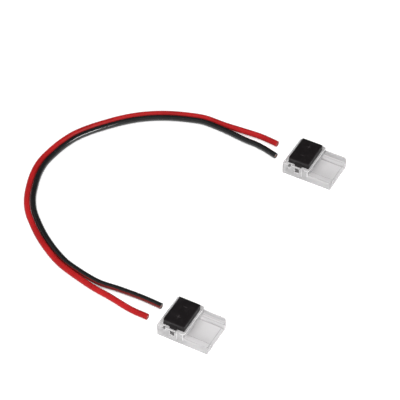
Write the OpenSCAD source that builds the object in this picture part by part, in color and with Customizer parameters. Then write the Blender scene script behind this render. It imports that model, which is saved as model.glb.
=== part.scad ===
// Solderless jumper for a narrow two-pole LED strip, laid out as a loose set.
// Two clear housings, each with a black press cap that carries two contacts,
// and a red and black twin wire that lies on the table between them.
// Units are millimetres. Each housing points its strip tray along +X.

/* [Strip and wire] */
// Width of the LED strip that slides into the tray
strip_w = 8; // [5:0.5:12]
// Height left for the strip under the door bar
strip_h = 1.6; // [1.2:0.1:2]
// Outer diameter of each insulated wire
wire_d = 1.85; // [1.4:0.05:2]
// Distance between the middles of the two poles
pole_pitch = 4.2; // [3.8:0.1:4.4]

/* [Housing] */
// Length of the head that holds the press cap
head_l = 9.05; // [8.6:0.05:11]
// Height of the head
head_h = 4.25; // [4:0.05:5]
// Length of the open strip tray beyond the head
tray_l = 7.45; // [5:0.05:12]
// Height of the tray's side rails
rail_h = 2.95; // [2.7:0.05:3.8]
// Width of each side rail
rail_w = 2.15; // [1.9:0.05:3]
// Thickness of the floor under the strip
floor_t = 0.8; // [0.7:0.05:1.2]
// Thickness of the side walls beside the cap
side_wall = 1.14; // [1.1:0.02:1.5]
// Thickness of the end wall that the wires enter through
wire_wall = 1.35; // [1.1:0.05:1.8]
// Thickness of the bar over the strip doorway
door_wall = 0.6; // [0.4:0.05:1]
// How far the strip reaches in under the head
strip_reach = 3.15; // [2.6:0.05:3.6]
// Thickness of the wall between the strip's end and the wires' ends
stop_wall = 0.7; // [0.4:0.05:1]

/* [Housing edges] */
// Radius of the head's upright corners at the wire end
head_r = 0.45; // [0.2:0.05:1]
// Radius of the head's upright corners over the strip doorway
head_door_r = 1; // [0.3:0.1:1.2]
// Radius of the tray's large outer corner
tray_r = 1.5; // [0.6:0.1:2]
// Radius of the tray's small outer corner
tray_small_r = 0.4; // [0.2:0.05:1]
// Bevel along the head's top edge at the wire end
rim_bevel = 0.5; // [0.2:0.05:0.8]
// Bevel along the inner top edge of each rail
rail_bevel = 0.4; // [0.2:0.05:0.8]
// Length of the lead-in ramp at the tray's mouth
ramp_l = 0.9; // [0.5:0.1:1.5]
// Depth of the lead-in ramp at the tray's mouth
ramp_h = 0.4; // [0.2:0.05:0.5]
// Width of the funnel round each wire hole's mouth
funnel = 0.3; // [0.1:0.05:0.4]

/* [Press cap] */
// Thickness of the cap's slab
slab_t = 2.05; // [1.6:0.05:2.4]
// Distance that the cap travels down when pressed
cap_travel = 1.5; // [0.8:0.1:1.6]
// Radius of the cap's upright corners
cap_r = 0.5; // [0.2:0.05:1]
// Bevel round the cap's top face
cap_bevel = 0.2; // [0.1:0.05:0.35]
// Diameter of the two guide pegs under the cap
peg_d = 1.1; // [0.8:0.1:1.2]
// Length of the guide pegs below the slab
peg_l = 0.7; // [0.4:0.1:0.9]
// Distance of each peg's middle from the cap's edges
peg_inset = 0.85; // [0.75:0.05:0.95]

// Width of the rib that holds the strip down between its pads
rib_w = 1.2; // [0.8:0.1:1.6]
// Thickness of the rib
rib_t = 0.8; // [0.5:0.1:1]
// How far the rib reaches below the slab
rib_drop = 0.5; // [0.2:0.1:0.6]

/* [Latch legs] */
// Distance of the legs' middle from the wire end
latch_x = 5.1; // [4.6:0.1:5.6]
// Width of each leg
leg_w = 2.2; // [1.8:0.1:2.6]
// How far each leg stands out from the cap's side
leg_t = 0.65; // [0.5:0.05:0.75]
// How far each leg reaches below the slab
leg_drop = 1.8; // [1.4:0.1:1.9]
// Distance of the leg's shoulder below the slab's top
leg_shoulder = 0.7; // [0.4:0.1:1]
// Width of the latch nib
nib_w = 1.4; // [1:0.1:1.6]
// How far the nib stands out from its leg
nib_t = 0.2; // [0.1:0.05:0.2]
// Height of the nib
nib_h = 1.3; // [0.8:0.1:1.4]
// Height of the nib above the leg's lower end
nib_lift = 0.2; // [0.1:0.05:0.3]
// Height of the nib's lead-in slope
nib_ramp = 0.5; // [0.2:0.1:0.7]
// Height of the window that shows the nib
window_h = 1.6; // [1:0.1:1.7]

/* [Contacts] */
// Thickness of the contact's sheet metal
contact_t = 0.35; // [0.25:0.05:0.4]
// Width of the bridge between fork and prong
bridge_w = 1.6; // [1.2:0.1:1.8]
// Width of the wire fork
fork_w = 2.6; // [2.4:0.1:2.8]
// Width of the fork's slot, which cuts through the insulation
fork_slot = 0.5; // [0.4:0.05:0.7]
// Distance of the fork behind the wire wall
fork_setback = 1.9; // [1.6:0.1:2.2]
// Width of the strip prong
prong_w = 1.4; // [1:0.1:1.6]
// Distance of the prong behind the door bar
prong_setback = 1.15; // [0.8:0.05:1.3]

/* [Layout of the set] */
// Distance between the middles of the two housings
clip_pitch = 76; // [60:1:100]
// How far the far housing lies ahead of the near one
clip_step = 1.5; // [0:0.5:4]

/* [Hidden] */
$fn = 48;

// Clearances
strip_clear = 0.1;
cap_clear = 0.08;
bore_clear = 0.1;
contact_clear = 0.03;
tip_clear = 0.2;
slot_end_clear = 0.2;
window_clear = 0.05;
core_gap = 0.07;
cut = 1;
bite = 0.3;

// Housing
channel_w = strip_w + 2 * strip_clear;
housing_w = channel_w + 2 * rail_w;
housing_l = head_l + tray_l;
block_h = floor_t + strip_h;
strip_stop = head_l - strip_reach;
groove_end = strip_stop - stop_wall;

// Wire holes
bore_r = wire_d / 2 + bore_clear;
wire_nip = 0.075;
bore_z = block_h + wire_nip - wire_d / 2;

// Press cap at rest, lifted by its travel
cap_x = wire_wall + cap_clear;
cap_l = head_l - wire_wall - door_wall - 2 * cap_clear;
cap_w = housing_w - 2 * (side_wall + cap_clear);
cap_seat = 0.1;
shut_z = block_h + cap_seat;
cap_z = shut_z + cap_travel;
cap_top = cap_z + slab_t;
peg_x = cap_x + peg_inset;
peg_y = cap_w / 2 - peg_inset;

// Latch legs and the slots that they run in
leg_bottom = cap_z - leg_drop;
leg_face = cap_w / 2 + leg_t;
nib_face = leg_face + nib_t;
nib_bottom = leg_bottom + nib_lift;
nib_top = nib_bottom + nib_h;
window_top = nib_top + window_clear;

// Contacts
fork_x = wire_wall + fork_setback;
prong_x = head_l - door_wall - prong_setback;
tip_z = floor_t + tip_clear + cap_travel;
slot_pad = 0.1;
point_l = 0.35;

// Places of the two housings, which are centred on the origin together
clip_ax = -(housing_l + clip_step) / 2;
clip_bx = clip_ax + clip_step;
clip_y = clip_pitch / 2;

// Route of the twin wire where its cores run joined, from near to far
joined_route = [[-44.1, -34.7], [-48.9, -32.9], [-53.5, -30.4], [-57.9, -27.5], [-62.1, -24.1],
                [-66, -20.4], [-69.1, -16.1], [-71.4, -11.2], [-73.2, -6], [-74.1, -0.8],
                [-73.8, 4.5], [-72.9, 9.7], [-71.3, 14.6], [-68.7, 19.2], [-65.5, 23.5],
                [-62.1, 27.6], [-58.2, 31.3], [-53.9, 34.4], [-49.2, 36.9], [-44, 38.9],
                [-39, 40.2]];
// Split ends of each core, from the cut end to the split and back
red_near_leg = [[-14, -40.5], [-20, -40.3], [-27.5, -39], [-34.5, -38]];
black_near_leg = [[-12.5, -35], [-19, -34.8], [-26.5, -35.1], [-34, -35.6]];
red_far_leg = [[-32.5, 41.2], [-25.5, 41.7], [-20, 42], [-14, 41.5]];
black_far_leg = [[-31.5, 39.1], [-24, 38.3], [-18.5, 38], [-12, 36.5]];
pair_pitch = wire_d + core_gap;
tube_sides = 8;
span_steps = 2;

// Curve through a list of points
function unit(v) = v / norm(v);
function last(list) = len(list) - 1;
function spline(a, b, c, d, t) =
    0.5 * (2 * b + (c - a) * t + (2 * a - 5 * b + 4 * c - d) * t * t
           + (3 * b - a - 3 * c + d) * t * t * t);
function at(list, i) = list[max(0, min(last(list), i))];
function smooth_route(list) = concat(
    [for (i = [0 : last(list) - 1], k = [0 : span_steps - 1])
        spline(at(list, i - 1), at(list, i), at(list, i + 1), at(list, i + 2), k / span_steps)],
    [list[last(list)]]);
function heading(list, i) = unit(at(list, i + 1) - at(list, i - 1));
function beside(list, offset) =
    [for (i = [0 : last(list)]) list[i] + offset * [-heading(list, i)[1], heading(list, i)[0]]];

// Tube with flat ends and flat sides that lies on the table along a route
function tube_ring(route, i, r) = let (h = heading(route, i))
    [for (s = [0 : tube_sides - 1]) let (a = (s + 0.5) * 360 / tube_sides)
        [route[i][0] - h[1] * r * cos(a), route[i][1] + h[0] * r * cos(a),
         wire_d / 2 + r * sin(a)]];

module wire(route) {
    path = smooth_route(route);
    rings = len(path);
    r = wire_d / 2 / cos(180 / tube_sides);
    points = [for (i = [0 : rings - 1]) each tube_ring(path, i, r)];
    sides = [for (i = [0 : rings - 2], s = [0 : tube_sides - 1])
        let (n = (s + 1) % tube_sides, a = i * tube_sides, b = (i + 1) * tube_sides)
        [a + s, b + s, b + n, a + n]];
    near_end = [for (s = [0 : tube_sides - 1]) s];
    far_end = [for (s = [0 : tube_sides - 1]) rings * tube_sides - 1 - s];
    polyhedron(points, concat(sides, [near_end, far_end]));
}

// Solid with its profile in the YZ plane, run along X from x0 to x1
module along_x(x0, x1) {
    translate([x0, 0, 0]) rotate([90, 0, 90]) linear_extrude(x1 - x0) children();
}

// Solid with its profile in the XZ plane, run along Y over the middle
module along_y(width) {
    translate([0, width / 2, 0]) rotate([90, 0, 0]) linear_extrude(width) children();
}

// Copies of a thing on both sides of the housing's middle plane
module both_sides() {
    children();
    mirror([0, 1, 0]) children();
}

// Copies of a thing on both poles
module both_poles() {
    for (side = [-1, 1]) translate([0, side * pole_pitch / 2, 0]) children();
}

// What a round corner takes away from a square one
module corner_waste(r) {
    difference() {
        translate([-cut, -cut]) square(r + cut);
        translate([r, r]) circle(r);
    }
}

// Rectangle from (0, -w/2) with its own radius at each corner
module plate_outline(l, w, back_left, back_right, front_right, front_left) {
    difference() {
        translate([0, -w / 2]) square([l, w]);
        translate([0, -w / 2]) corner_waste(front_left);
        translate([l, -w / 2]) mirror([1, 0]) corner_waste(front_right);
        translate([0, w / 2]) mirror([0, 1]) corner_waste(back_left);
        translate([l, w / 2]) rotate(180) corner_waste(back_right);
    }
}

// Outer form of the moulding: low tray with a tall head at the wire end
module housing_blank() {
    linear_extrude(rail_h)
        plate_outline(housing_l, housing_w, head_r, tray_r, tray_small_r, head_r);
    difference() {
        linear_extrude(head_h)
            plate_outline(head_l, housing_w, head_r, head_door_r, head_door_r, head_r);
        along_y(housing_w + 2 * cut)
            polygon([[-cut, head_h + cut], [-cut, head_h - rim_bevel - cut],
                     [rim_bevel + cut, head_h + cut]]);
    }
}

// Space that the strip slides into, with its bevels and its lead-in
module strip_space() {
    half = channel_w / 2;
    along_x(strip_stop, head_l + bite)
        polygon([[-half, floor_t], [half, floor_t], [half, block_h], [-half, block_h]]);
    along_x(head_l, housing_l + cut)
        polygon([[-half, floor_t], [half, floor_t], [half, rail_h - rail_bevel],
                 [half + rail_bevel + cut, rail_h + cut], [-half - rail_bevel - cut, rail_h + cut],
                 [-half, rail_h - rail_bevel]]);
    along_y(channel_w)
        polygon([[housing_l - ramp_l, floor_t], [housing_l + cut, floor_t],
                 [housing_l + cut, floor_t - ramp_h * (ramp_l + cut) / ramp_l]]);
}

// Pocket that the slab sinks into, open to the strip beyond the stop wall
module cap_pocket() {
    pocket_l = cap_l + 2 * cap_clear;
    pocket_w = cap_w + 2 * cap_clear;
    translate([wire_wall, -pocket_w / 2, block_h])
        cube([pocket_l, pocket_w, head_h - block_h + cut]);
    translate([strip_stop, -channel_w / 2, floor_t])
        cube([head_l - door_wall - strip_stop, channel_w, head_h]);
}

// Wire hole with its funnel, and the cradle behind it that is open upwards
module wire_space() {
    flat = bore_r / 2;
    translate([-cut, 0, bore_z]) rotate([0, 90, 0])
        cylinder(h = wire_wall + 2 * cut, r = bore_r);
    translate([-cut, 0, bore_z]) rotate([0, 90, 0])
        cylinder(h = funnel + cut, r1 = bore_r + funnel + cut, r2 = bore_r);
    along_x(wire_wall, groove_end)
        polygon([[-flat, bore_z - bore_r], [flat, bore_z - bore_r], [bore_r, bore_z - flat],
                 [bore_r, head_h + cut], [-bore_r, head_h + cut], [-bore_r, bore_z - flat]]);
}

// Slot that the fork sinks into
module fork_space() {
    slot_l = contact_t + 2 * slot_pad;
    slot_w = fork_w + 2 * slot_pad;
    translate([fork_x - slot_l / 2, -slot_w / 2, floor_t])
        cube([slot_l, slot_w, head_h]);
}

// Round hole that a guide peg sinks into
module peg_space() {
    hole_bottom = shut_z - peg_l - cap_seat;
    translate([peg_x, peg_y, hole_bottom])
        cylinder(h = head_h, r = peg_d / 2 + cap_clear);
}

// Slot for a latch leg, the nib's track behind the skin and the window
module latch_space() {
    slot_l = leg_w + 2 * cap_clear;
    track_l = nib_w + 2 * cap_clear;
    track_bottom = nib_bottom - cap_travel - cap_clear;
    slot_bottom = leg_bottom - cap_travel - slot_end_clear;
    window_l = nib_w + 2 * window_clear;
    translate([latch_x - slot_l / 2, cap_w / 2 - cap_clear, slot_bottom])
        cube([slot_l, leg_t + 2 * cap_clear, head_h]);
    translate([latch_x - track_l / 2, leg_face, track_bottom])
        cube([track_l, nib_t + cap_clear, nib_top + cap_clear - track_bottom]);
    translate([latch_x - window_l / 2, leg_face, window_top - window_h])
        cube([window_l, housing_w, window_h]);
}

module clip_housing() {
    difference() {
        housing_blank();
        strip_space();
        cap_pocket();
        both_poles() wire_space();
        both_poles() fork_space();
        both_sides() peg_space();
        both_sides() latch_space();
    }
}

// Slab of the cap with a bevel round its top face
module cap_slab() {
    reach = cap_w + cap_l;
    difference() {
        translate([cap_x, 0, cap_z]) linear_extrude(slab_t)
            plate_outline(cap_l, cap_w, cap_r, cap_r, cap_r, cap_r);
        translate([cap_x, 0, cap_top]) along_y(reach)
            polygon([[-cut, cut], [-cut, -cap_bevel - cut], [cap_bevel + cut, cut]]);
        translate([cap_x + cap_l, 0, cap_top]) mirror([1, 0, 0]) along_y(reach)
            polygon([[-cut, cut], [-cut, -cap_bevel - cut], [cap_bevel + cut, cut]]);
        both_sides() translate([0, cap_w / 2, cap_top]) along_x(-cut, reach)
            polygon([[cut, cut], [cut, -cap_bevel - cut], [-cap_bevel - cut, cut]]);
    }
}

// Leg that runs down the side wall, with its sloping shoulder and its nib
module latch_leg() {
    side = cap_w / 2;
    shoulder_z = cap_top - leg_shoulder;
    along_x(latch_x - leg_w / 2, latch_x + leg_w / 2)
        polygon([[side, leg_bottom], [leg_face - nib_t, leg_bottom],
                 [leg_face, leg_bottom + nib_t], [leg_face, shoulder_z - leg_t],
                 [side, shoulder_z], [side - bite, shoulder_z], [side - bite, cap_z],
                 [side, cap_z]]);
    along_x(latch_x - nib_w / 2, latch_x + nib_w / 2)
        polygon([[leg_face - bite, nib_bottom], [leg_face, nib_bottom],
                 [nib_face, nib_bottom + nib_ramp], [nib_face, nib_top],
                 [leg_face - bite, nib_top]]);
}

// Recess under the slab that a contact's bridge is pressed into
module bridge_recess() {
    x0 = fork_x - contact_t / 2 - contact_clear;
    x1 = prong_x + contact_t / 2 + contact_clear;
    translate([x0, -bridge_w / 2 - contact_clear, cap_z - cut])
        cube([x1 - x0, bridge_w + 2 * contact_clear, contact_t + cut]);
}

// Rib at the doorway that keeps the strip down
module strip_rib() {
    translate([cap_x + cap_l - rib_t, -rib_w / 2, cap_z - rib_drop])
        cube([rib_t, rib_w, rib_drop + bite]);
}

module press_cap() {
    difference() {
        union() {
            cap_slab();
            strip_rib();
            both_sides() latch_leg();
            both_sides() translate([peg_x, peg_y, cap_z - peg_l])
                cylinder(h = peg_l + bite, r = peg_d / 2);
        }
        both_poles() bridge_recess();
    }
}

// Outline of the fork that straddles the wire
module fork_outline() {
    half = fork_w / 2;
    slit = fork_slot / 2;
    difference() {
        union() {
            translate([-bridge_w / 2, cap_z - bite]) square([bridge_w, contact_t + bite]);
            polygon([[-half, cap_z], [half, cap_z], [half, tip_z + point_l],
                     [half - point_l, tip_z], [point_l - half, tip_z],
                     [-half, tip_z + point_l]]);
        }
        polygon([[-slit, cap_z - slit], [slit, cap_z - slit], [slit, tip_z + point_l],
                 [slit + 2 * point_l, tip_z - point_l], [-slit - 2 * point_l, tip_z - point_l],
                 [-slit, tip_z + point_l]]);
    }
}

// Outline of the two-pointed prong that bites into the strip's pad
module prong_outline() {
    half = prong_w / 2;
    mid = tip_z + half;
    top = cap_z + contact_t;
    polygon([[-half, top], [half, top], [half, mid], [half / 2, tip_z], [0, mid],
             [-half / 2, tip_z], [-half, mid]]);
}

module contact() {
    along_x(fork_x - contact_t / 2, fork_x + contact_t / 2) fork_outline();
    along_x(prong_x - contact_t / 2, prong_x + contact_t / 2) prong_outline();
    translate([fork_x - contact_t / 2, -bridge_w / 2, cap_z])
        cube([prong_x - fork_x + contact_t, bridge_w, contact_t]);
}

// Places of the two clips
module place_a() {
    translate([clip_ax, -clip_y, 0]) children();
}

module place_b() {
    translate([clip_bx, clip_y, 0]) children();
}

module pole(side) {
    translate([0, side * pole_pitch / 2, 0]) children();
}

module housing_a() {
    color([0.86, 0.88, 0.9, 0.45]) place_a() clip_housing();
}

module cap_a() {
    color([0.1, 0.1, 0.11]) place_a() press_cap();
}

module contact_a_plus() {
    color([0.78, 0.77, 0.74]) place_a() pole(-1) contact();
}

module contact_a_minus() {
    color([0.78, 0.77, 0.74]) place_a() pole(1) contact();
}

module housing_b() {
    color([0.86, 0.88, 0.9, 0.45]) place_b() clip_housing();
}

module cap_b() {
    color([0.1, 0.1, 0.11]) place_b() press_cap();
}

module contact_b_plus() {
    color([0.78, 0.77, 0.74]) place_b() pole(1) contact();
}

module contact_b_minus() {
    color([0.78, 0.77, 0.74]) place_b() pole(-1) contact();
}

module red_wire() {
    color([0.75, 0.12, 0.1])
        wire(concat(red_near_leg, beside(joined_route, pair_pitch / 2), red_far_leg));
}

module black_wire() {
    color([0.1, 0.1, 0.1])
        wire(concat(black_near_leg, beside(joined_route, -pair_pitch / 2), black_far_leg));
}

housing_a();
cap_a();
contact_a_plus();
contact_a_minus();
housing_b();
cap_b();
contact_b_plus();
contact_b_minus();
red_wire();
black_wire();
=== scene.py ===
"""Looks of a loose LED strip jumper: two clear clips, black press caps and a twin wire."""

import math

import bmesh
import bpy
from bpy.props import FloatProperty, FloatVectorProperty, IntProperty, PointerProperty
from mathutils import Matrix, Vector


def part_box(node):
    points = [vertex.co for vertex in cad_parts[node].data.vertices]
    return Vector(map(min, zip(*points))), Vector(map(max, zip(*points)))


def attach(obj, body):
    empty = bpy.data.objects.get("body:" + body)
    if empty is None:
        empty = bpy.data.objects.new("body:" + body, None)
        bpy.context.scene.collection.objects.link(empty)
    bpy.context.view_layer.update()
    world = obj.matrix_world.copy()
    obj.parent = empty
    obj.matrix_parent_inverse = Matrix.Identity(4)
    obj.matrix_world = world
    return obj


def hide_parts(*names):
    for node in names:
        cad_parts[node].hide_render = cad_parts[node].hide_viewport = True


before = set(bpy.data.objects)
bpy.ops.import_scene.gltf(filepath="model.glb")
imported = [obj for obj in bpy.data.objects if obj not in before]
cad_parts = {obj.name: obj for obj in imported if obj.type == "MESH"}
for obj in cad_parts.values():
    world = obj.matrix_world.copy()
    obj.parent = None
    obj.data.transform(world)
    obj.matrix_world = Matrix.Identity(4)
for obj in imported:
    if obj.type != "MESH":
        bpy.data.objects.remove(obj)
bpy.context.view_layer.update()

bl_info = {
    "name": "LED Strip Jumper",
    "version": (1, 0, 0),
    "blender": (4, 5, 0),
    "location": "View3D > Sidebar > Jumper",
    "description": "Clear strip clips, press caps, contacts and a loose twin wire",
    "category": "Object",
}

MM = 0.001

# Each clip's letter in the names of nodes and bodies, and the side of its middle with the plus pole
CLIPS = {"a": -1, "b": 1}
POLE_PITCH = 4.2 * MM

# Camera, table and room
FILM_WIDTH = 36.0
VIEW_NEAREST = 0.01
VIEW_FARTHEST = 20.0
TABLE_SIZE = 6.0
TABLE_GAP = 0.02 * MM
TABLE_GLOW = 0.22
ROOM_STRENGTH = 0.3
DARK_WAY = (-0.34, 0.62, 0.71)
DARK_SPAN = (0.55, 0.85)

# Lamps: place from the point that each one faces, width and height, and power in watts
OVERHEAD_LAMP = ((0.02, -0.06, 0.6), (0.7, 0.7), 3.2)
FRONT_LAMP = ((0.25, -0.52, 0.36), (0.5, 0.5), 4.4)
GLOSS_LAMP = ((0.74, -0.02, 0.5), (0.5, 0.13), 7.5)
WIRE_BEND = (-0.066, 0.021, 0.001)

# Route of the twin wire where its cores run joined, from near to far, and its split ends, in mm
JOINED_ROUTE = [
    (-44.1, -34.7), (-48.9, -32.9), (-53.5, -30.4), (-57.9, -27.5), (-62.1, -24.1), (-66, -20.4),
    (-69.1, -16.1), (-71.4, -11.2), (-73.2, -6), (-74.1, -0.8), (-73.8, 4.5), (-72.9, 9.7),
    (-71.3, 14.6), (-68.7, 19.2), (-65.5, 23.5), (-62.1, 27.6), (-58.2, 31.3), (-53.9, 34.4),
    (-49.2, 36.9), (-44, 38.9), (-39, 40.2),
]
NEAR_LEG = {
    "red": [(-14, -40.5), (-20, -40.3), (-27.5, -39), (-34.5, -38)],
    "black": [(-12.5, -35), (-19, -34.8), (-26.5, -35.1), (-34, -35.6)],
}
FAR_LEG = {
    "red": [(-32.5, 41.2), (-25.5, 41.7), (-20, 42), (-14, 41.5)],
    "black": [(-31.5, 39.1), (-24, 38.3), (-18.5, 38), (-12, 36.5)],
}
CORE_GAP = 0.07 * MM
SIDE = {"red": 1, "black": -1}
ROUTE_STEPS = 8

# Skin of each core: faces round it, radius of its cut edges with the turns that round them, in
# radians, and depth to which the open ends are hollow
TUBE_SIDES = 32
LIP = 0.07 * MM
LIP_TURNS = (0.5, 1.0)
BORE_DEPTH = 0.25 * MM

# Torn web: its middle, half width, narrowing and soft edge in degrees round the core, and the
# lengths of the split end, of the stretch where the web narrows and of the one where it fades
WEB_MIDDLE = -12.0
WEB_HALF = 54.0
WEB_NARROWING = 40.0
WEB_EDGE = 16.0
SPLIT_LENGTH = 30 * MM
NARROWING_LENGTH = 25 * MM
FADE_LENGTH = 20 * MM

# Copper strands: radius as a share of its room, ring's radius in strands, edge as a share of a
# strand, and how far they lie back from the cut
STRANDS_ACROSS = 3
STRAND_FIT = 0.98
STRAND_RING = 2.04
STRAND_EDGE = 0.25
STRAND_SIDES = 14
STRAND_LENGTH = 0.3 * MM
RECESSES = [(0.05 + 0.02 * k) * MM for k in range(3)]

# Boxes on a housing, from its wire end, side face and underside, in millimetres: the upright ribs
# beside each latch window and at the head's strip end, and their outer faces, which get a painted
# highlight
RIBS = (
    ((6.5, -0.1, 1.3), (6.85, 0.06, 4.2)),
    ((8.45, -0.4, 1.9), (8.78, 0.06, 4.1)),
)
RIB_FACE_BOX = ((6.4, 0.03, 1.2), (8.9, 0.1, 4.3))
# The window's opening, the side walls' ends over the rails, the rails' upper edges, the edge of
# the tray's floor at the strip mouth, and the dimple: painted shade in all of them but the walls'
# ends, which get a painted highlight
WINDOW_BOX = ((4.3, -0.65, 1.9), (5.9, -0.02, 3.85))
WALL_END_BOX = ((8.9, -2.1, 3.0), (9.1, -0.95, 4.2))
RAIL_EDGE_BOX = ((9.3, -2.3, 2.3), (16.6, 0.1, 3.1))
FLOOR_END_BOX = ((15.3, -10.0, 0.6), (15.9, -2.1, 0.9))
DIMPLE_BOX = ((1.9, -0.8, 3.4), (3.1, 0.01, 4.24))
# Half-round dimple in the top of each side wall: its place from the same corner, in millimetres
DIMPLE = (2.5, -0.2)
DIMPLE_R = 0.42 * MM
DIMPLE_DEPTH = 0.6 * MM
DIMPLE_SIDES = 24
# A face whose normal has more than this along X looks towards the strip
LOOKS_AT_STRIP = 0.3

# Looks of a housing's faces, by place in its list of materials: plain clear plastic, then copies
# of it for a painted highlight on rounded convex edges, painted shade, a painted highlight on the
# ribs' faces and the walls' ends, and painted shade in the latch windows
PLAIN, BRIGHT, SHADE, GLOW, WINDOW = range(5)
# Share of the light that each of them lets through
PLAIN_SHARE = 0.62
BRIGHT_SHARE = 0.2
SHADE_SHARE = 0.3
FACE_HIGHLIGHT_SHARE = 0.42
WINDOW_SHADE_SHARE = 0.15
SHADOW_TINT = (0.74, 0.735, 0.737)

# Marks on a cap: place in its list of materials, a bar's width as a share of its length, its
# rounding as a share of its width, and how level and how near their depth a face of their floor is
MARK = 1
BAR_WIDTH = 0.2
BAR_ROUNDING = 0.3
LEVEL = 0.9
SAME_HEIGHT = 0.02 * MM

# Colours of the specks in the wires, of the torn web and of the copper
RED_SPECK = (0.05, 0.004, 0.004)
BLACK_SPECK = (0.05, 0.05, 0.052)
WEB_TINT = (0.11, 0.009, 0.008)
COPPER_TINT = (0.5, 0.23, 0.17)
TARNISH_TINT = (0.28, 0.11, 0.08)

# Depths of the fine relief in the materials
RIPPLE_DEPTH = 0.00003
SKIN_DEPTH = 0.00002
BRUSH_DEPTH = 0.00001

# Merging and rounding of the CAD meshes: edges that bend by more than a corner are rounded
MERGE_DISTANCE = 1e-6
FLAT_ANGLE = math.radians(0.4)
CORNER = math.radians(28)
HOUSING_CORNER = math.radians(20)
SMOOTH_ANGLE = math.radians(32)
WIRE_SMOOTH_ANGLE = math.radians(40)


class CameraSettings(bpy.types.PropertyGroup):
    azimuth: FloatProperty(
        name="Azimuth", description="Turn of the view about the upright axis",
        default=math.radians(28.62), subtype="ANGLE",
    )
    elevation: FloatProperty(
        name="Elevation", description="Height of the view above the table",
        default=math.radians(45.34), subtype="ANGLE",
    )
    distance: FloatProperty(
        name="Distance", description="Distance from the point looked at",
        default=0.634, unit="LENGTH",
    )
    lens: FloatProperty(
        name="Lens", description="Focal length for a film 36 mm wide",
        default=187.2, unit="CAMERA",
    )
    target: FloatVectorProperty(
        name="Target", description="Point on the table that the view looks at",
        default=(-0.0239, 0.0091, 0.0), subtype="TRANSLATION",
    )
    floor_tint: FloatVectorProperty(
        name="Floor", description="Colour of the table",
        default=(0.96, 0.96, 0.96), subtype="COLOR", min=0, max=1,
    )


class WireSettings(bpy.types.PropertyGroup):
    diameter: FloatProperty(
        name="Diameter", description="Outer diameter of each insulated wire",
        default=1.85 * MM, unit="LENGTH",
    )
    core_diameter: FloatProperty(
        name="Core", description="Diameter of the bundle of copper strands",
        default=0.85 * MM, unit="LENGTH",
    )
    strands: IntProperty(
        name="Strands", description="Strands in the bundle's outer ring", default=6,
    )
    red: FloatVectorProperty(
        name="Red", description="Colour of the positive wire",
        default=(0.34, 0.0125, 0.0135), subtype="COLOR", min=0, max=1,
    )
    black: FloatVectorProperty(
        name="Black", description="Colour of the negative wire",
        default=(0.009, 0.009, 0.0092), subtype="COLOR", min=0, max=1,
    )


class HousingSettings(bpy.types.PropertyGroup):
    edge: FloatProperty(
        name="Edge", description="Width of the moulding's edges",
        default=0.07 * MM, unit="LENGTH",
    )
    tint: FloatVectorProperty(
        name="Tint", description="Colour of the clear plastic",
        default=(0.58, 0.574, 0.576), subtype="COLOR", min=0, max=1,
    )
    # Painted highlight: the rounded convex edges get this lighter copy of the clear plastic.
    edge_highlight_tint: FloatVectorProperty(
        name="Edge Tint", description="Colour of the moulding's edges, which gather the light",
        default=(0.96, 0.955, 0.957), subtype="COLOR", min=0, max=1,
    )
    # Painted highlight: the ribs' outer faces and the side walls' ends over the rails get this
    # lighter copy of the clear plastic.
    face_highlight_tint: FloatVectorProperty(
        name="Glow Tint", description="Colour of the ribs and wall ends, which pass more light on",
        default=(0.66, 0.655, 0.657), subtype="COLOR", min=0, max=1,
    )
    # Painted shade: rounded concave edges, the rails' upper edges, the rounded edge of the tray's
    # floor at the strip mouth and the dimples get this darker copy of the clear plastic.
    shade_tint: FloatVectorProperty(
        name="Shade Tint", description="Colour of the inner corners and of the dimples",
        default=(0.15, 0.147, 0.148), subtype="COLOR", min=0, max=1,
    )
    # Painted shade: the faces in each latch window's opening get this darker copy of the clear
    # plastic.
    window_shade_tint: FloatVectorProperty(
        name="Window Tint", description="Colour of the thin skin in the latch windows",
        default=(0.4, 0.39, 0.392), subtype="COLOR", min=0, max=1,
    )


class CapSettings(bpy.types.PropertyGroup):
    edge: FloatProperty(
        name="Edge", description="Radius of the cap's edges", default=0.07 * MM, unit="LENGTH",
    )
    mark_size: FloatProperty(
        name="Mark", description="Width of the plus and minus marks",
        default=1.5 * MM, unit="LENGTH",
    )
    mark_depth: FloatProperty(
        name="Mark Depth", description="Depth of the marks", default=0.12 * MM, unit="LENGTH",
    )
    # The floors of the marks get a paler copy of the cap's plastic.
    mark_tint: FloatVectorProperty(
        name="Mark Tint", description="Colour of the worn marks",
        default=(0.034, 0.03, 0.031), subtype="COLOR", min=0, max=1,
    )
    tint: FloatVectorProperty(
        name="Tint", description="Colour of the cap",
        default=(0.0095, 0.0082, 0.0086), subtype="COLOR", min=0, max=1,
    )


class ContactSettings(bpy.types.PropertyGroup):
    edge: FloatProperty(
        name="Edge", description="Radius of the sheet metal's edges",
        default=0.03 * MM, unit="LENGTH",
    )
    tint: FloatVectorProperty(
        name="Tint", description="Colour of the tinned metal",
        default=(0.74, 0.72, 0.68), subtype="COLOR", min=0, max=1,
    )


# Shader helpers


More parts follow.
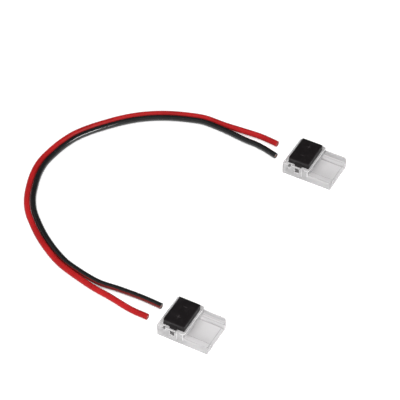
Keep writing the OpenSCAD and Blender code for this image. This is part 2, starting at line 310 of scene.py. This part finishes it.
class Nodes:
    """A node tree and short ways to add nodes to it and join them."""

    # Sockets of the Mix node for colours, whose names repeat
    MIX_FACTOR, MIX_A, MIX_B, MIX_RESULT = 0, 6, 7, 2

    def __init__(self, tree):
        self.tree = tree

    def add(self, kind, **inputs):
        node = self.tree.nodes.new(kind)
        for name, value in inputs.items():
            self.set(node, name.replace("_", " "), value)
        return node

    def set(self, node, name, value):
        socket = node.inputs[name]
        if isinstance(value, bpy.types.NodeSocket):
            self.tree.links.new(value, socket)
        else:
            socket.default_value = value

    def place(self):
        """Place on the piece, in the object's own coordinates."""
        return self.add("ShaderNodeTexCoord").outputs["Object"]

    def math(self, operation, a, b=0.0, clamp=False):
        node = self.add("ShaderNodeMath")
        node.operation = operation
        node.use_clamp = clamp
        self.set(node, 0, a)
        self.set(node, 1, b)
        return node.outputs[0]

    def ramp(self, value, span, out=(0.0, 1.0)):
        """Smooth change from the first output to the second while the value goes over the span."""
        node = self.add("ShaderNodeMapRange", Value=value)
        node.interpolation_type = "SMOOTHSTEP"
        for name, number in zip(("From Min", "From Max", "To Min", "To Max"), (*span, *out)):
            node.inputs[name].default_value = number
        return node.outputs[0]

    def mix(self, factor, a, b):
        node = self.add("ShaderNodeMix")
        node.data_type = "RGBA"
        self.set(node, self.MIX_FACTOR, factor)
        self.set(node, self.MIX_A, a)
        self.set(node, self.MIX_B, b)
        return node.outputs[self.MIX_RESULT]

    def noise(self, vector, scale, detail=3.0, roughness=0.5):
        node = self.add(
            "ShaderNodeTexNoise", Vector=vector, Scale=scale, Detail=detail, Roughness=roughness)
        return node.outputs[0]

    def bump(self, height, strength, distance):
        node = self.add("ShaderNodeBump", Height=height, Strength=strength, Distance=distance)
        return node.outputs[0]

    def effect(self, name, **inputs):
        """Places an effect's group with its own values; the group is built at its first use."""
        node = self.add("ShaderNodeGroup")
        node.node_tree = bpy.data.node_groups.get(name) or EFFECTS[name](name)
        for label, value in inputs.items():
            self.set(node, label.replace("_", " "), value)
        return node.outputs[0]


def effect_group(name, inputs, output):
    """Nodes and inputs of a new shader group, with named number inputs and one number output."""
    group = bpy.data.node_groups.new(name, "ShaderNodeTree")
    for label, default in inputs.items():
        socket = group.interface.new_socket(label, in_out="INPUT", socket_type="NodeSocketFloat")
        socket.default_value = default
    group.interface.new_socket(output, in_out="OUTPUT", socket_type="NodeSocketFloat")
    return Nodes(group), group.nodes.new("NodeGroupInput").outputs


def finished_group(n, value):
    """The group, once the value is joined to its output."""
    n.set(n.add("NodeGroupOutput"), 0, value)
    return n.tree


def moulding_ripple_group(name):
    """Height of the soft ripples and flow marks on a moulded face."""
    n, given = effect_group(name, {"Wave": 260.0, "Grain": 2600.0, "Grain Share": 0.3}, "Height")
    place = n.place()
    wave = n.noise(place, given["Wave"], detail=2.0)
    grain = n.noise(place, given["Grain"], detail=2.0, roughness=0.6)
    fine = n.math("MULTIPLY", grain, given["Grain Share"])
    return finished_group(n, n.math("ADD", wave, fine))


def handling_wear_group(name):
    """Mask of the faint scuffs and dust that handling leaves on plastic."""
    patch_scale, reach_share, contrast = 0.35, 0.4, 5.0
    n, given = effect_group(name, {"Scale": 900.0, "Reach": 0.6}, "Mask")
    place = n.place()
    patches = n.noise(place, n.math("MULTIPLY", given["Scale"], patch_scale))
    specks = n.noise(place, given["Scale"], detail=6.0, roughness=0.7)
    both = n.math("MULTIPLY", patches, specks)
    spread = n.math("SUBTRACT", both, n.math("MULTIPLY", given["Reach"], reach_share))
    return finished_group(n, n.math("MULTIPLY", spread, contrast, clamp=True))


def insulation_skin_group(name):
    """Height of the extruded insulation's skin: fine draw lines along it and slow waves."""
    scale_along, wave_share = 40.0, 0.8
    n, given = effect_group(name, {"Lines": 60.0, "Waves": 500.0}, "Height")
    uv = n.add("ShaderNodeUVMap")
    uv.uv_map = "skin"
    split = n.add("ShaderNodeSeparateXYZ", Vector=uv.outputs[0])
    drawn = n.add(
        "ShaderNodeCombineXYZ",
        X=n.math("MULTIPLY", split.outputs[0], scale_along),
        Y=n.math("MULTIPLY", split.outputs[1], given["Lines"]))
    lines = n.noise(drawn.outputs[0], 1.0, detail=2.0)
    waves = n.noise(n.place(), given["Waves"])
    return finished_group(n, n.math("ADD", lines, n.math("MULTIPLY", waves, wave_share)))


EFFECTS = {
    "moulding_ripple": moulding_ripple_group,
    "handling_wear": handling_wear_group,
    "insulation_skin": insulation_skin_group,
}


def new_material(name):
    """A material with a Principled shader alone, its nodes, and the shader."""
    material = bpy.data.materials.new(name)
    material.use_nodes = True
    n = Nodes(material.node_tree)
    n.tree.nodes.clear()
    shader = n.add("ShaderNodeBsdfPrincipled")
    n.add("ShaderNodeOutputMaterial", Surface=shader.outputs[0])
    return material, n, shader


def colour(values, factor=1.0):
    """Colour with its alpha, made lighter or darker by a factor."""
    return (*(c * factor for c in values), 1.0)


def clear_plastic(name, tint, share):
    """Clear moulded polycarbonate with ripples and scuffs; share is the light it lets through."""
    material, n, shader = new_material(name)
    wear = n.effect("handling_wear", Scale=700.0, Reach=0.7)
    ripple = n.effect("moulding_ripple", Wave=300.0, Grain=3000.0, Grain_Share=0.15)
    n.set(shader, "Base Color", colour(tint))
    n.set(shader, "Transmission Weight", share)
    n.set(shader, "IOR", 1.45)
    n.set(shader, "Roughness", n.ramp(wear, span=(0.0, 1.0), out=(0.06, 0.2)))
    n.set(shader, "Normal", n.bump(ripple, 0.25, RIPPLE_DEPTH))
    through = n.add("ShaderNodeBsdfTransparent", Color=colour(SHADOW_TINT))
    both = n.add("ShaderNodeMixShader")
    n.set(both, 0, n.add("ShaderNodeLightPath").outputs["Is Shadow Ray"])
    n.set(both, 1, shader.outputs[0])
    n.set(both, 2, through.outputs[0])
    n.set(n.tree.nodes["Material Output"], "Surface", both.outputs[0])
    return material


def black_plastic(name, tint):
    """Satin black plastic with a fine spark-eroded grain and paler scuffed patches."""
    material, n, shader = new_material(name)
    wear = n.effect("handling_wear", Scale=1400.0, Reach=0.55)
    ripple = n.effect("moulding_ripple", Wave=700.0, Grain=9000.0, Grain_Share=0.7)
    n.set(shader, "Base Color", n.mix(wear, colour(tint), colour(tint, 1.6)))
    n.set(shader, "Roughness", n.ramp(wear, span=(0.0, 1.0), out=(0.34, 0.5)))
    n.set(shader, "Specular IOR Level", 0.28)
    n.set(shader, "Normal", n.bump(ripple, 0.35, RIPPLE_DEPTH))
    return material


def tinned_metal(tint):
    """Tinned bronze sheet with a brushed skin and duller patches."""
    material, n, shader = new_material("tinned_bronze")
    place = n.place()
    brushed = n.add("ShaderNodeMapping", Vector=place, Scale=(0.08, 1.0, 1.0))
    lines = n.noise(brushed.outputs[0], 9000.0, detail=2.0)
    dull = n.ramp(n.noise(place, 1500.0), span=(0.45, 0.75))
    n.set(shader, "Base Color", n.mix(dull, colour(tint), colour(tint, 0.72)))
    n.set(shader, "Roughness", n.ramp(lines, span=(0.2, 0.8), out=(0.22, 0.42)))
    n.set(shader, "Metallic", 1.0)
    n.set(shader, "Normal", n.bump(lines, 0.2, BRUSH_DEPTH))
    return material


def vinyl(name, tint, roughness, specular, speck_tint, tear=False):
    """Extruded vinyl insulation; with tear, the strip of red web that stays on the black core."""
    material, n, shader = new_material(name)
    place = n.place()
    shade = n.ramp(n.noise(place, 180.0), span=(0.35, 0.7))
    base = n.mix(shade, colour(tint), colour(tint, 0.8))
    specks = n.ramp(n.noise(place, 1600.0, detail=1.0), span=(0.73, 0.78))
    base = n.mix(specks, base, colour(speck_tint))
    if tear:
        web = n.add("ShaderNodeAttribute")
        web.attribute_name = "web"
        rags = n.ramp(n.noise(place, 1100.0), span=(0.3, 0.7), out=(-0.18, 0.18))
        ragged = n.math("ADD", web.outputs["Fac"], rags)
        base = n.mix(n.ramp(ragged, span=(0.42, 0.58)), base, colour(WEB_TINT))
    # Painted shade: the base colour turns darker towards each core's outline, where its surface
    # turns away from the camera
    rim = n.add("ShaderNodeLayerWeight", Blend=0.5)
    painted_rim_shade = n.ramp(rim.outputs["Facing"], span=(0.45, 0.95), out=(0.0, 0.85))
    n.set(shader, "Base Color", n.mix(painted_rim_shade, base, colour(tint, 0.3)))
    uneven = n.ramp(n.noise(place, 900.0), span=(0.3, 0.7), out=(roughness, roughness + 0.1))
    n.set(shader, "Roughness", uneven)
    skin = n.effect("insulation_skin", Lines=60.0, Waves=420.0)
    n.set(shader, "Normal", n.bump(skin, 0.04, SKIN_DEPTH))
    n.set(shader, "Specular IOR Level", specular)
    return material


def copper():
    """Cut copper strands, bright with a slight tarnish."""
    material, n, shader = new_material("bare_copper")
    tarnish = n.ramp(n.noise(n.place(), 4000.0), span=(0.4, 0.75))
    n.set(shader, "Base Color", n.mix(tarnish, colour(COPPER_TINT), colour(TARNISH_TINT)))
    n.set(shader, "Roughness", n.ramp(tarnish, span=(0.0, 1.0), out=(0.3, 0.5)))
    n.set(shader, "Metallic", 1.0)
    return material


def table_paper(tint):
    """Smooth white table with a barely visible mottle."""
    material, n, shader = new_material("white_table")
    soft = n.noise(n.place(), 6.0, detail=2.0)
    n.set(shader, "Base Color", n.mix(soft, colour(tint), colour(tint, 0.995)))
    n.set(shader, "Roughness", 0.9)
    n.set(shader, "Specular IOR Level", 0.1)
    n.set(shader, "Emission Color", colour((1.0, 1.0, 1.0)))
    n.set(shader, "Emission Strength", TABLE_GLOW)
    return material


# Mesh helpers


def deselect():
    if bpy.context.object and bpy.context.object.mode != "OBJECT":
        bpy.ops.object.mode_set(mode="OBJECT")
    bpy.ops.object.select_all(action="DESELECT")


def make_active(obj):
    deselect()
    obj.select_set(True)
    bpy.context.view_layer.objects.active = obj


def linked_object(name, data):
    obj = bpy.data.objects.new(name, data)
    bpy.context.scene.collection.objects.link(obj)
    return obj


def apply_modifier(obj, kind, **values):
    make_active(obj)
    modifier = obj.modifiers.new(kind.lower(), kind)
    for name, value in values.items():
        setattr(modifier, name, value)
    bpy.ops.object.modifier_apply(modifier=modifier.name)


def combine(piece, other, operation):
    """Adds the other solid to the piece or cuts it from the piece, and removes it."""
    apply_modifier(piece, "BOOLEAN", operation=operation, solver="EXACT", object=other)
    bpy.data.objects.remove(other, do_unlink=True)


def merged_copy(node, name):
    """A copy of a CAD node's mesh with its loose triangles merged into flat faces."""
    piece = linked_object(name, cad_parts[node].data.copy())
    piece.data.materials.clear()
    make_active(piece)
    bpy.ops.object.mode_set(mode="EDIT")
    bpy.ops.mesh.select_all(action="SELECT")
    bpy.ops.mesh.remove_doubles(threshold=MERGE_DISTANCE)
    bpy.ops.mesh.dissolve_limited(angle_limit=FLAT_ANGLE)
    bpy.ops.mesh.select_all(action="DESELECT")
    bpy.ops.object.mode_set(mode="OBJECT")
    return piece


def smooth_shade(piece, angle):
    make_active(piece)
    bpy.ops.object.shade_smooth_by_angle(angle=angle)


def round_edges(piece, radius, segments=2, material=-1, corner=CORNER, clamp=True):
    """Rounds the edges that bend by more than a corner and gives the rest a smooth shade."""
    for k in range(material + 1):
        piece.data.materials.append(None)
    apply_modifier(
        piece, "BEVEL", width=radius, segments=segments, limit_method="ANGLE",
        angle_limit=corner, offset_type="WIDTH", use_clamp_overlap=clamp,
        harden_normals=False, miter_outer="MITER_ARC", material=material)
    smooth_shade(piece, SMOOTH_ANGLE)


def finish_piece(piece, material, slot, body, *nodes):
    piece.data.materials.clear()
    piece.data.materials.append(material)
    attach(piece, body)
    if nodes:
        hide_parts(*nodes)


# Twin wire


def spline(a, b, c, d, t):
    """Point between b and c on a smooth curve through the four points."""
    return 0.5 * (2 * b + (c - a) * t + (2 * a - 5 * b + 4 * c - d) * t * t
                  + (3 * b - a - 3 * c + d) * t ** 3)


def at(points, i):
    return points[max(0, min(len(points) - 1, i))]


def heading(points, i):
    return (at(points, i + 1) - at(points, i - 1)).normalized()


def beside(points, offset):
    """The points moved sideways, to the left of their heading."""
    moved = []
    for i, p in enumerate(points):
        h = heading(points, i)
        moved.append(p + offset * Vector((-h.y, h.x)))
    return moved


def smooth_route(points):
    """Smooth curve through the points, in short steps."""
    route = []
    for i in range(len(points) - 1):
        four = [at(points, i + k) for k in (-1, 0, 1, 2)]
        route += [spline(*four, k / ROUTE_STEPS) for k in range(ROUTE_STEPS)]
    route.append(points[-1])
    return route


def wire_route(core, diameter):
    """Middle line of one core, lying on the table from its near cut end to its far one."""
    joined = [Vector(p) * MM for p in JOINED_ROUTE]
    shift = SIDE[core] * (diameter + CORE_GAP) / 2
    near = [Vector(p) * MM for p in NEAR_LEG[core]]
    far = [Vector(p) * MM for p in FAR_LEG[core]]
    flat = smooth_route(near + beside(joined, shift) + far)
    return [Vector((p.x, p.y, diameter / 2)) for p in flat]


def route_length(route):
    return sum((b - a).length for a, b in zip(route, route[1:]))


def share(value):
    return max(0.0, min(1.0, value))


def torn_web(s, total, turn):
    """Share of torn web at that distance from the near end and that turn from the other core."""
    half = WEB_HALF - WEB_NARROWING * share((s - SPLIT_LENGTH) / NARROWING_LENGTH)
    fade = share((total - SPLIT_LENGTH - s) / FADE_LENGTH)
    return fade * share(0.5 + (half - abs(turn - WEB_MIDDLE)) / WEB_EDGE)


def wire_rings(last, radius, core_radius):
    """Rings of a core's skin: each one's point on the route, push along it, and radius."""
    end = [(BORE_DEPTH, core_radius), (0.0, core_radius), (0.0, radius - LIP)]
    end += [(LIP * (1 - math.cos(a)), radius - LIP * (1 - math.sin(a))) for a in LIP_TURNS]
    end += [(LIP, radius)]
    rings = [(0, push, r) for push, r in end]
    rings += [(i, 0.0, radius) for i in range(1, last)]
    rings += [(last, -push, r) for push, r in reversed(end)]
    return rings


def skin_between(bm, uv, rows, along, flip):
    """Faces between the rows of points, with a UV map along and round the tube."""
    for i in range(len(rows) - 1):
        for k in range(TUBE_SIDES):
            n = (k + 1) % TUBE_SIDES
            corners = [(i, k), (i, n), (i + 1, n), (i + 1, k)]
            if flip:
                corners.reverse()
            face = bm.faces.new([rows[r][c] for r, c in corners])
            for loop, (r, c) in zip(face.loops, corners):
                loop[uv].uv = (along[r], 1.0 if c == n == 0 else c / TUBE_SIDES)


def close_end(bm, uv, row, first, flip):
    """Floor of the hollow in one cut end."""
    face = bm.faces.new(row[::-1] if first != flip else row)
    for loop in face.loops:
        loop[uv].uv = (0.0 if first else 1.0, 0.5)


def wire_skin(name, core, route, settings):
    """Tube with rounded cut edges and an open core, a UV map along it and the torn web's mask."""
    bm = bmesh.new()
    uv = bm.loops.layers.uv.new("skin")
    web = bm.verts.layers.float.new("web")
    total = route_length(route)
    lengths = [0.0]
    for a, b in zip(route, route[1:]):
        lengths.append(lengths[-1] + (b - a).length)
    rings = wire_rings(len(route) - 1, settings.diameter / 2, settings.core_diameter / 2)
    toward = -SIDE[core]
    rows = []
    along = []
    for index, push, r in rings:
        h = heading(route, index)
        across = Vector((-h.y, h.x, 0.0)) * toward
        middle = route[index] + h * push
        s = lengths[index] + push
        row = []
        for k in range(TUBE_SIDES):
            a = 2 * math.pi * k / TUBE_SIDES
            up = Vector((0, 0, r * math.sin(a)))
            vertex = bm.verts.new(middle + across * (r * math.cos(a)) + up)
            vertex[web] = torn_web(s, total, math.degrees(math.remainder(a, 2 * math.pi)))
            row.append(vertex)
        rows.append(row)
        along.append(s / total)
    flip = toward > 0
    skin_between(bm, uv, rows, along, flip)
    close_end(bm, uv, rows[0], True, flip)
    close_end(bm, uv, rows[-1], False, flip)
    bmesh.ops.recalc_face_normals(bm, faces=bm.faces)
    mesh = bpy.data.meshes.new(name)
    bm.to_mesh(mesh)
    bm.free()
    piece = linked_object(name, mesh)
    smooth_shade(piece, WIRE_SMOOTH_ANGLE)
    return piece


def strand_bundle(name, middle, direction, settings):
    """Cut copper strands in the open end of a core: one in the middle and a ring round it."""
    strand = settings.core_diameter / 2 / STRANDS_ACROSS * STRAND_FIT
    ring = STRAND_RING * strand
    turns = [2 * math.pi * k / settings.strands for k in range(settings.strands)]
    spots = [(0.0, 0.0)] + [(ring * math.cos(a), ring * math.sin(a)) for a in turns]
    turn = direction.to_track_quat("Z", "Y").to_matrix()
    parts = []
    for k, (x, y) in enumerate(spots):
        deselect()
        back = -STRAND_LENGTH / 2 - RECESSES[k % len(RECESSES)]
        bpy.ops.mesh.primitive_cylinder_add(
            vertices=STRAND_SIDES, radius=strand, depth=STRAND_LENGTH,
            location=middle + turn @ Vector((x, y, back)), rotation=turn.to_euler())
        part = bpy.context.object
        apply_modifier(
            part, "BEVEL", width=strand * STRAND_EDGE, segments=2, limit_method="ANGLE")
        parts.append(part)
    deselect()
    for part in parts:
        part.select_set(True)
    bpy.context.view_layer.objects.active = parts[0]
    bpy.ops.object.join()
    bundle = bpy.context.object
    bundle.name = name
    bpy.ops.object.transform_apply(location=True, rotation=True, scale=True)
    smooth_shade(bundle, WIRE_SMOOTH_ANGLE)
    return bundle


# Housing details


def add_rib(piece, low, high, side, box):
    """Joins one upright rib to one side face of the housing; low and high are the housing's box."""
    face = high.y if side > 0 else low.y
    corners = [Vector((low.x + x * MM, face + side * y * MM, low.z + z * MM)) for x, y, z in box]
    deselect()
    bpy.ops.mesh.primitive_cube_add(size=1, location=(corners[0] + corners[1]) / 2)
    rib = bpy.context.object
    rib.scale = [abs(b - a) for a, b in zip(*corners)]
    bpy.ops.object.transform_apply(location=True, rotation=True, scale=True)
    combine(piece, rib, "UNION")


def sink_dimple(piece, low, high, side):
    """Sinks the round dimple into the top of one side wall."""
    face = high.y if side > 0 else low.y
    deselect()
    bpy.ops.mesh.primitive_cylinder_add(
        vertices=DIMPLE_SIDES, radius=DIMPLE_R, depth=2 * DIMPLE_DEPTH,
        location=(low.x + DIMPLE[0] * MM, face + side * DIMPLE[1] * MM, high.z))
    combine(piece, bpy.context.object, "DIFFERENCE")


def inside(point, box):
    return all(a <= p <= b for p, a, b in zip(point, *box))


def gathers_light(face):
    """Whether at least half of the edges that a rounded face shares with plain ones are convex:
    such a face gets the painted edge highlight, the others painted shade.
    """
    bends = [edge.is_convex for edge in face.edges
             if any(other.material_index == PLAIN for other in edge.link_faces)]
    return 2 * sum(bends) >= len(bends)


def face_looks(piece, low, high):
    """Painted highlight or painted shade for each face that isn't plain, from its place and its
    edges' bend.
    """
    bm = bmesh.new()
    bm.from_mesh(piece.data)
    looks = {}
    for face in bm.faces:
        middle = face.calc_center_median()
        reach = abs(middle.y - (low.y + high.y) / 2) - (high.y - low.y) / 2
        local = [(middle.x - low.x) / MM, reach / MM, (middle.z - low.z) / MM]
        rounded = face.material_index == BRIGHT
        wall_end = inside(local, WALL_END_BOX) and face.normal.x > LOOKS_AT_STRIP
        if inside(local, WINDOW_BOX):
            looks[face.index] = WINDOW
        elif inside(local, DIMPLE_BOX):
            looks[face.index] = SHADE
        elif wall_end or inside(local, RIB_FACE_BOX):
            looks[face.index] = GLOW
        elif rounded and (inside(local, RAIL_EDGE_BOX) or inside(local, FLOOR_END_BOX)):
            looks[face.index] = SHADE
        elif rounded:
            looks[face.index] = BRIGHT if gathers_light(face) else SHADE
    bm.free()
    return looks


# Press cap marks


def mark_bar(centre, length, depth, turned):
    """Cutter for one bar of a mark, sunk into the cap's top."""
    width = length * BAR_WIDTH
    deselect()
    bpy.ops.mesh.primitive_cube_add(size=1, location=centre)
    bar = bpy.context.object
    bar.scale = (width, length, 2 * depth) if turned else (length, width, 2 * depth)
    bpy.ops.object.transform_apply(location=True, rotation=True, scale=True)
    apply_modifier(bar, "BEVEL", width=width * BAR_ROUNDING, segments=3, limit_method="ANGLE")
    return bar


def engrave(piece, centre, size, depth, plus):
    """Sinks a plus or a minus into the piece's top face."""
    for turned in ((False, True) if plus else (False,)):
        combine(piece, mark_bar(centre, size, depth, turned), "DIFFERENCE")


# Stage


def aim(obj, away):
    """Turns a camera or lamp towards what it stands away from."""
    obj.rotation_euler = (-away).to_track_quat("-Z", "Y").to_euler()


def studio_world(scene):
    """White room that is dark only where the level tops mirror it towards the camera."""
    scene.world = bpy.data.worlds.new("studio")
    scene.world.use_nodes = True
    n = Nodes(scene.world.node_tree)
    facing = n.add("ShaderNodeVectorMath")
    facing.operation = "DOT_PRODUCT"
    n.set(facing, 0, n.add("ShaderNodeTexCoord").outputs["Generated"])
    n.set(facing, 1, Vector(DARK_WAY).normalized())
    room = n.tree.nodes["Background"]
    n.set(room, "Color", colour((1.0, 1.0, 1.0)))
    light = n.ramp(facing.outputs["Value"], span=DARK_SPAN, out=(ROOM_STRENGTH, 0.0))
    n.set(room, "Strength", light)


def softbox(name, target, away, size, power):
    """Rectangular lamp that stands away from the target and faces it."""
    data = bpy.data.lights.new(name, "AREA")
    data.shape = "RECTANGLE"
    data.size, data.size_y = size
    data.energy = power
    lamp = linked_object(name, data)
    lamp.location = Vector(target) + Vector(away)
    aim(lamp, Vector(away))
    lamp.visible_camera = False
    return lamp


# Operators


class JUMPER_OT_stage(bpy.types.Operator):
    """Add the camera, the white table and the soft lights"""

    bl_idname = "jumper.stage"
    bl_label = "Stage"

    def execute(self, context):
        settings = context.scene.jumper_camera
        self.add_camera(context, settings)
        self.add_table(settings)
        self.add_lights(context, settings)
        return {"FINISHED"}

    def add_camera(self, context, settings):
        back = Vector((
            math.sin(settings.azimuth) * math.cos(settings.elevation),
            -math.cos(settings.azimuth) * math.cos(settings.elevation),
            math.sin(settings.elevation),
        ))
        data = bpy.data.cameras.new("view")
        data.sensor_width = FILM_WIDTH
        data.sensor_fit = "HORIZONTAL"
        data.lens = settings.lens
        data.clip_start = VIEW_NEAREST
        data.clip_end = VIEW_FARTHEST
        camera = linked_object("view", data)
        camera.location = Vector(settings.target) + back * settings.distance
        aim(camera, back)
        context.scene.camera = camera

    def add_table(self, settings):
        deselect()
        bpy.ops.mesh.primitive_plane_add(size=TABLE_SIZE, location=(0, 0, -TABLE_GAP))
        table = bpy.context.object
        table.name = "table"
        table.data.materials.append(table_paper(settings.floor_tint))

    def add_lights(self, context, settings):
        context.scene.view_settings.view_transform = "Standard"
        studio_world(context.scene)
        for name, lamp in (("overhead", OVERHEAD_LAMP), ("front", FRONT_LAMP)):
            softbox(name, settings.target, *lamp).visible_glossy = False


class JUMPER_OT_wires(bpy.types.Operator):
    """Add the red and the black core of the twin wire with their cut copper ends"""

    bl_idname = "jumper.wires"
    bl_label = "Twin Wire"

    def execute(self, context):
        settings = context.scene.jumper_wire
        looks = {
            "red": vinyl(
                "red_vinyl", settings.red, roughness=0.26, specular=0.07, speck_tint=RED_SPECK),
            "black": vinyl(
                "black_vinyl", settings.black, roughness=0.1, specular=0.5,
                speck_tint=BLACK_SPECK, tear=True),
        }
        metal = copper()
        skins = []
        for core, look in looks.items():
            route = wire_route(core, settings.diameter)
            piece = wire_skin(core + "_wire_skin", core, route, settings)
            finish_piece(piece, look, core + "_insulation", "set", core + "_wire")
            for place, index, way in (("near", 0, -1), ("far", len(route) - 1, 1)):
                direction = heading(route, index) * way
                bundle = strand_bundle(
                    core + "_strands_" + place, route[index], direction, settings)
                finish_piece(bundle, metal, core + "_insulation", "set")
            skins.append(piece)
        self.add_gloss(skins)
        return {"FINISHED"}

    def add_gloss(self, skins):
        """A narrow strip lamp that only draws the highlight along the wires' bend."""
        lamp = softbox("wire_gloss", WIRE_BEND, *GLOSS_LAMP)
        lamp.visible_diffuse = False
        shown = bpy.data.collections.new("glossy_wires")
        for skin in skins:
            shown.objects.link(skin)
        lamp.light_linking.receiver_collection = shown


class JUMPER_OT_housings(bpy.types.Operator):
    """Add the clear housings with their ribs, dimples and moulded edges, with painted highlights
    and painted shade on some faces
    """

    bl_idname = "jumper.housings"
    bl_label = "Clear Housings"

    def execute(self, context):
        settings = context.scene.jumper_housing
        plain = clear_plastic("clear_polycarbonate", settings.tint, PLAIN_SHARE)
        # Lighter and darker copies of the clear plastic, for the painted highlights and the painted
        # shade
        others = [
            clear_plastic("clear_polycarbonate_edge_highlight", settings.edge_highlight_tint, BRIGHT_SHARE),
            clear_plastic("clear_polycarbonate_shade", settings.shade_tint, SHADE_SHARE),
            clear_plastic("clear_polycarbonate_face_highlight", settings.face_highlight_tint, FACE_HIGHLIGHT_SHARE),
            clear_plastic("clear_polycarbonate_window_shade", settings.window_shade_tint, WINDOW_SHADE_SHARE),
        ]
        for clip in CLIPS:
            node = "housing_" + clip
            low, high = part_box(node)
            piece = merged_copy(node, node + "_clear")
            for side in (-1, 1):
                for box in RIBS:
                    add_rib(piece, low, high, side, box)
                sink_dimple(piece, low, high, side)
            round_edges(
                piece, settings.edge, material=BRIGHT, corner=HOUSING_CORNER, clamp=False)
            looks = face_looks(piece, low, high)
            finish_piece(piece, plain, "clear_housing", "set", node)
            for other in others:
                piece.data.materials.append(other)
            for index, look in looks.items():
                piece.data.polygons[index].material_index = look
        return {"FINISHED"}


class JUMPER_OT_caps(bpy.types.Operator):
    """Add the black press caps with a plus and a minus over the poles"""

    bl_idname = "jumper.caps"
    bl_label = "Press Caps"

    def execute(self, context):
        settings = context.scene.jumper_cap
        look = black_plastic("black_cap_plastic", settings.tint)
        greyish = black_plastic("greyish_mark_plastic", settings.mark_tint)
        for clip, plus_side in CLIPS.items():
            node = "cap_" + clip
            low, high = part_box(node)
            piece = merged_copy(node, node + "_black")
            round_edges(piece, settings.edge)
            top = Vector(((low.x + high.x) / 2, (low.y + high.y) / 2, high.z))
            for side in (-1, 1):
                centre = top + Vector((0, side * POLE_PITCH / 2, 0))
                engrave(piece, centre, settings.mark_size, settings.mark_depth, side == plus_side)
            smooth_shade(piece, SMOOTH_ANGLE)
            finish_piece(piece, look, "black_cap", "press_" + clip, node)
            piece.data.materials.append(greyish)
            # The floors of the marks get the paler copy of the cap's plastic
            floor_z = high.z - settings.mark_depth
            for face in piece.data.polygons:
                if face.normal.z > LEVEL and abs(face.center.z - floor_z) < SAME_HEIGHT:
                    face.material_index = MARK
        return {"FINISHED"}


class JUMPER_OT_contacts(bpy.types.Operator):
    """Add the tinned contacts under the caps"""

    bl_idname = "jumper.contacts"
    bl_label = "Contacts"

    def execute(self, context):
        settings = context.scene.jumper_contact
        look = tinned_metal(settings.tint)
        for clip in CLIPS:
            for pole in ("plus", "minus"):
                node = "contact_" + clip + "_" + pole
                piece = merged_copy(node, node + "_tinned")
                round_edges(piece, settings.edge, segments=1)
                finish_piece(piece, look, "tinned_contact", "press_" + clip, node)
        return {"FINISHED"}


class JUMPER_PT_panel(bpy.types.Panel):
    """Sidebar panel that lists the settings and the operators"""

    bl_idname = "JUMPER_PT_panel"
    bl_label = "LED Strip Jumper"
    bl_space_type = "VIEW_3D"
    bl_region_type = "UI"
    bl_category = "Jumper"

    def draw(self, context):
        for name, (group, operator) in PARTS.items():
            box = self.layout.box()
            settings = getattr(context.scene, name)
            for field in group.__annotations__:
                box.prop(settings, field)
            box.operator(operator.bl_idname)


PARTS = {
    "jumper_camera": (CameraSettings, JUMPER_OT_stage),
    "jumper_wire": (WireSettings, JUMPER_OT_wires),
    "jumper_housing": (HousingSettings, JUMPER_OT_housings),
    "jumper_cap": (CapSettings, JUMPER_OT_caps),
    "jumper_contact": (ContactSettings, JUMPER_OT_contacts),
}


def register():
    for name, (group, operator) in PARTS.items():
        bpy.utils.register_class(group)
        bpy.utils.register_class(operator)
        setattr(bpy.types.Scene, name, PointerProperty(type=group))
    bpy.utils.register_class(JUMPER_PT_panel)


def unregister():
    bpy.utils.unregister_class(JUMPER_PT_panel)
    for name, (group, operator) in PARTS.items():
        delattr(bpy.types.Scene, name)
        bpy.utils.unregister_class(operator)
        bpy.utils.unregister_class(group)


def main():
    register()
    bpy.ops.jumper.stage()
    bpy.ops.jumper.wires()
    bpy.ops.jumper.housings()
    bpy.ops.jumper.caps()
    bpy.ops.jumper.contacts()


if __name__ == "__main__":
    main()
